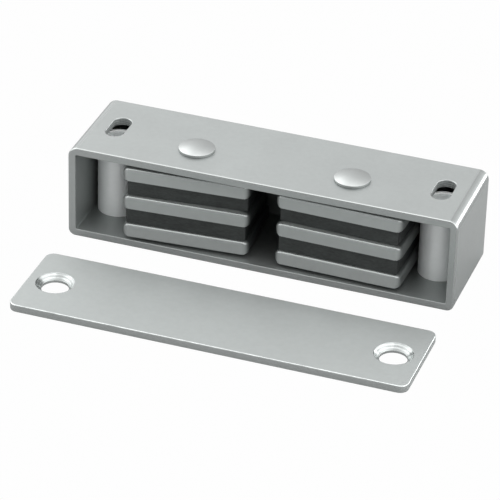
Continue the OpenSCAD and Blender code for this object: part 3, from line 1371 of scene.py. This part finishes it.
@dataclass
class StrikePlate:
    """Flat steel plate that the magnets pull, with a countersunk hole at each end."""

    finish: Material
    corner: float = 2.0 * MM
    edge: float = 0.25 * MM
    sink_depth: float = 1.2 * MM
    sink_edge: float = 0.06 * MM
    sink_rim: float = 0.8
    end_cell: float = 14.0 * MM
    rim_steps: int = 8
    end_steps: int = 12
    middle_steps: int = 6
    stations_across: int = 17

    def build(self) -> Object:
        """Makes the plate: a rim carried round the outline, and two faces in three cells each.

        The cells at the ends are flat rings from the outline and a line across to the hole. The
        middle cell is a plain grid between those two lines.

        Returns:
            The strike plate.
        """
        low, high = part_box("strike_plate")
        half_x, half_y, top = (high.x - low.x) / 2, (high.y - low.y) / 2, high.z
        centre = np.array([(low.x + high.x) / 2, (low.y + high.y) / 2, 0.0])
        radius = mount("strike_screws")["dims"]["hole_r_mm"] * MM
        hole_x = screw_place(Side.RIGHT, "strike_screws")[0]
        part = (half_x - self.end_cell) / (half_x - self.corner)
        ends, middle = self.end_steps, self.middle_steps
        along = stations(-1.0, -part, part, 1.0, steps=(ends, middle, ends))
        across = np.linspace(-1, 1, self.stations_across)
        outline = Outline(half_x, half_y, self.corner, self.corner, along, across)
        foot_rim = outline.rim(self.edge, 0.0, -1, self.rim_steps)
        skin = Skin()
        skin.rows([*foot_rim[::-1], *outline.rim(self.edge, top, 1, self.rim_steps)])

        flat = outline.loop(self.edge)
        count = len(flat)
        foot, crown = outline.first_foot, outline.first_top
        cross = np.linspace(-1.0, 1.0, self.stations_across - 2) * (half_y - self.edge)
        sunk, small = self.sink_depth, self.sink_edge
        walls = [
            (sunk + small, top, 0.0),
            (sunk + 0.2 * small, top - 0.3 * small, 1.0),
            (sunk - small, top - small, self.sink_rim),
            (0.0, top - sunk, self.sink_rim),
            (0.0, 0.0, 0.0),
        ]
        cut = np.array([float(rim > 0.0) for _, _, rim in walls])
        for side in (Side.RIGHT, Side.LEFT):
            first, last = crown + ends + middle, foot + ends
            if side is Side.RIGHT:
                first, last = foot + ends + middle, crown + ends + count
            inner = cross[1:-1][:: -side.value]
            line = np.column_stack([np.full(inner.size, flat[first % count, 0]), inner])
            edge = np.vstack([flat[np.arange(first, last + 1) % count], line])
            hole = Opening((side.value * hole_x, 0.0), radius)
            rows = [(hole.loop(edge, grow), level, rim) for grow, level, rim in walls]
            skin.ring(at_level(edge, top), at_level(rows[0][0], top))
            skin.ring(at_level(edge, 0.0), at_level(rows[-1][0], 0.0))
            skin.rows(rows, cut=cut)
        along_middle = flat[foot + ends : foot + ends + middle + 1, 0]
        sheet = np.stack(np.meshgrid(along_middle, cross), axis=-1)
        for level in (0.0, top):
            skin.grid(np.dstack([sheet, np.full(sheet.shape[:2], level)]), closed=False)
        return make_piece("strike", skin, upright(centre), Slot.STRIKE, self.finish, "strike_plate")


# Studio

WHITE = (1.0, 1.0, 1.0, 1.0)


@dataclass(frozen=True)
class Viewpoint:
    """Camera of the picture, from a fit to the housing's edges."""

    azimuth: float = math.radians(18.503)
    elevation: float = math.radians(30.788)
    roll: float = math.radians(1.668)
    aim: tuple[float, float, float] = (-2.147 * MM, -12.217 * MM, 6.230 * MM)
    distance: float = 682.66 * MM
    lens: float = 225.603
    sensor: float = 36.0
    shift_x: float = 0.0029826
    shift_y: float = -0.0074675
    nearest: float = 0.02
    farthest: float = 60.0

    def build(self) -> Object:
        """Makes the camera, aimed along the azimuth and elevation and rolled about its axis.

        Returns:
            The camera.
        """
        away = Vector((
            math.sin(self.azimuth) * math.cos(self.elevation),
            -math.cos(self.azimuth) * math.cos(self.elevation),
            math.sin(self.elevation),
        ))
        level = Vector((math.cos(self.azimuth), math.sin(self.azimuth), 0.0))
        raised = away.cross(level)
        across = math.cos(self.roll) * level + math.sin(self.roll) * raised
        upward = away.cross(across)
        data = bpy.data.cameras.new("picture camera")
        data.lens = self.lens
        data.sensor_width = self.sensor
        data.shift_x, data.shift_y = self.shift_x, self.shift_y
        data.clip_start, data.clip_end = self.nearest, self.farthest
        camera = placed("picture camera", data)
        turn = Matrix((across, upward, away)).transposed().to_4x4()
        camera.matrix_world = Matrix.Translation(Vector(self.aim) + away * self.distance) @ turn
        bpy.context.scene.camera = camera
        return camera


@dataclass(frozen=True)
class Softbox:
    """Round patch of light far from the catch, with a soft edge."""

    towards: tuple[float, float, float]
    core: float
    edge: float
    brightness: float

    def light(self, build: Tree, ray: Socket) -> Socket:
        """Light of the patch: nothing beyond the edge's angle, rising smoothly to the core's.

        Args:
            build: Tree of the world.
            ray: Direction of the ray.

        Returns:
            The patch's light along the ray.
        """
        aim = {0: ray, 1: Vector(self.towards).normalized()}
        near = build.add("ShaderNodeVectorMath", aim, operation="DOT_PRODUCT").outputs["Value"]
        angles = {"From Min": math.cos(self.edge), "From Max": math.cos(self.core)}
        inputs = {"Value": near, **angles, "To Max": self.brightness}
        return build.add("ShaderNodeMapRange", inputs, interpolation_type="SMOOTHSTEP").outputs["Result"]


@dataclass(frozen=True)
class Quarter:
    """Studio wall that faces the catch from one side: its axis, and its brightness at each height."""

    axis: str
    sign: int
    brightness: tuple[float, ...]


@dataclass(frozen=True)
class Studio:
    """White table between two tall bright walls, with the front and the back kept dimmer.

    The ceiling is bright. Two softboxes stand behind the catch, high on the left and low on
    the right.
    """

    table_half: float = 4.0
    table_glow: float = 0.99
    table_tone: float = 0.39
    heights: tuple[float, ...] = (0.0, 0.25, 0.5, 0.75, 0.92, 1.0)
    walls: tuple[Quarter, ...] = (
        Quarter("Y", -1, (0.34, 0.22, 0.54, 0.74, 1.6, 2.5)),
        Quarter("Y", 1, (0.54, 0.72, 0.78, 0.95, 1.6, 2.5)),
        Quarter("X", -1, (1.75, 1.9, 2.0, 1.9, 1.6, 2.5)),
        Quarter("X", 1, (2.5, 2.5, 2.5, 2.15, 1.6, 2.5)),
    )
    softboxes: tuple[Softbox, ...] = (
        Softbox((-0.64, 0.36, 0.68), core=math.radians(7), edge=math.radians(25), brightness=1.35),
        Softbox((0.57, 0.815, 0.07), core=math.radians(6), edge=math.radians(13), brightness=3.6),
    )

    def to_camera(self, build: Tree, plain: Socket, other: Socket) -> Socket:
        """A plain shader to the camera, and another to every other ray."""
        seen = build.add("ShaderNodeLightPath").outputs["Is Camera Ray"]
        return build.add("ShaderNodeMixShader", {0: seen, 1: other, 2: plain}).outputs["Shader"]

    def table(self) -> Object:
        """Level table: an even white to the camera, and grey to the light that strikes it.

        Returns:
            The table.
        """
        mesh = bpy.data.meshes.new("table")
        signs = ((-1, -1), (1, -1), (1, 1), (-1, 1))
        corners = [(x * self.table_half, y * self.table_half, 0.0) for x, y in signs]
        mesh.from_pydata(corners, [], [(0, 1, 2, 3)])
        made = bpy.data.materials.new("white table")
        build = emptied(made)
        glow = build.add("ShaderNodeEmission", {"Color": WHITE, "Strength": self.table_glow})
        tone = self.table_tone
        paper = build.add("ShaderNodeBsdfDiffuse", {"Color": (tone, tone, tone, 1.0)})
        mixed = self.to_camera(build, glow.outputs["Emission"], paper.outputs["BSDF"])
        build.add("ShaderNodeOutputMaterial", {"Surface": mixed})
        mesh.materials.append(made)
        table = placed("table", mesh)
        return table

    def wall_light(self, build: Tree, axes: Sockets, level: Socket, wall: Quarter) -> Socket:
        """Light of one wall: its brightness at the ray's height, times its share of the ray.

        The share is the square of the ray's run towards the wall, over the square of its run on
        the level, so that the shares of the four walls add up to one all round.

        Args:
            build: Tree of the world.
            axes: The ray's X, Y and Z.
            level: Square of the ray's run on the level.
            wall: The wall.

        Returns:
            The wall's light along the ray.
        """
        ramp = build.add("ShaderNodeValToRGB", {"Fac": axes["Z"]})
        marks = ramp.color_ramp.elements
        peak = max(wall.brightness)
        for i, (place, value) in enumerate(zip(self.heights, wall.brightness)):
            mark = marks[i] if i < len(marks) else marks.new(place)
            mark.position = place
            mark.color = (value / peak, value / peak, value / peak, 1.0)
        run = build.maths("MAXIMUM", build.maths("MULTIPLY", axes[wall.axis], wall.sign), 0.0)
        share = build.maths("DIVIDE", build.maths("MULTIPLY", run, run), level)
        return build.maths("MULTIPLY", build.maths("MULTIPLY", ramp.outputs["Color"], peak), share)

    def world(self) -> None:
        """Walls, ceiling and softboxes as light by the ray's direction, and plain white to the camera."""
        world = bpy.data.worlds.new("studio walls")
        bpy.context.scene.world = world
        build = emptied(world)
        ray = build.add("ShaderNodeTexCoord").outputs["Generated"]
        axes = build.add("ShaderNodeSeparateXYZ", {"Vector": ray}).outputs
        squares = [build.maths("MULTIPLY", axes[axis], axes[axis]) for axis in ("X", "Y")]
        level = build.maths("MAXIMUM", build.maths("ADD", *squares), STEEPEST)
        light = 0.0
        for wall in self.walls:
            light = build.maths("ADD", light, self.wall_light(build, axes, level, wall))
        for softbox in self.softboxes:
            light = build.maths("ADD", light, softbox.light(build, ray))
        sky = build.add("ShaderNodeBackground", {"Color": WHITE, "Strength": light})
        plain = build.add("ShaderNodeBackground", {"Color": WHITE, "Strength": 1.0})
        mixed = self.to_camera(build, plain.outputs["Background"], sky.outputs["Background"])
        build.add("ShaderNodeOutputWorld", {"Surface": mixed})

    def build(self) -> None:
        """Sets up the table and the light of the room."""
        bpy.context.scene.view_settings.view_transform = "Standard"
        self.table()
        self.world()


def main() -> None:
    """Builds the catch from the housing inwards, then the strike plate and the studio."""
    logging.basicConfig(level=logging.INFO, format="%(name)s: %(message)s")

    satin = MetalFinish(
        "satin housing", (0.46, 0.483, 0.478), roughness=0.4, metallic=1.0, edge_roughness=0.2
    ).material()
    tube = MetalFinish("bright sleeve", (0.96, 0.985, 0.98), roughness=0.4, metallic=0.3).material()
    head = MetalFinish("bright rivet", (0.48, 0.5, 0.495), roughness=0.33, metallic=1.0).material()
    steel = MetalFinish(
        "tumbled steel",
        (0.43, 0.454, 0.448),
        roughness=0.45,
        metallic=0.7,
        grain=0.3 * MM,
        # Painted shade on the plates' hidden sides, dark right from the mouth
        film_at_mouth=0.9,
    ).material()
    plated = MetalFinish(
        "plated strike",
        (0.43, 0.451, 0.446),
        roughness=0.6,
        metallic=0.9,
        rubbed=0.8,
        tooled=0.95,
        tooled_roughness=0.25,
    ).material()
    ceramic = CeramicFinish("ceramic magnet", (0.021, 0.0245, 0.0235)).material()

    Casing(satin).build()
    for side in (Side.LEFT, Side.RIGHT):
        ScrewSleeve(side, tube).build()
        Rivet(side, head).build()
        for level in ("lower", "upper"):
            Spacer(side, level, head).build()
    Stack(Side.LEFT, steel, ceramic, slip=0.6 * MM, slip_turn=math.radians(1.8)).build()
    Stack(Side.RIGHT, steel, ceramic, slip=0.6 * MM, slip_turn=math.radians(-1.2)).build()
    StrikePlate(plated).build()
    Studio().build()
    Viewpoint().build()


if __name__ == "__main__":
    main()
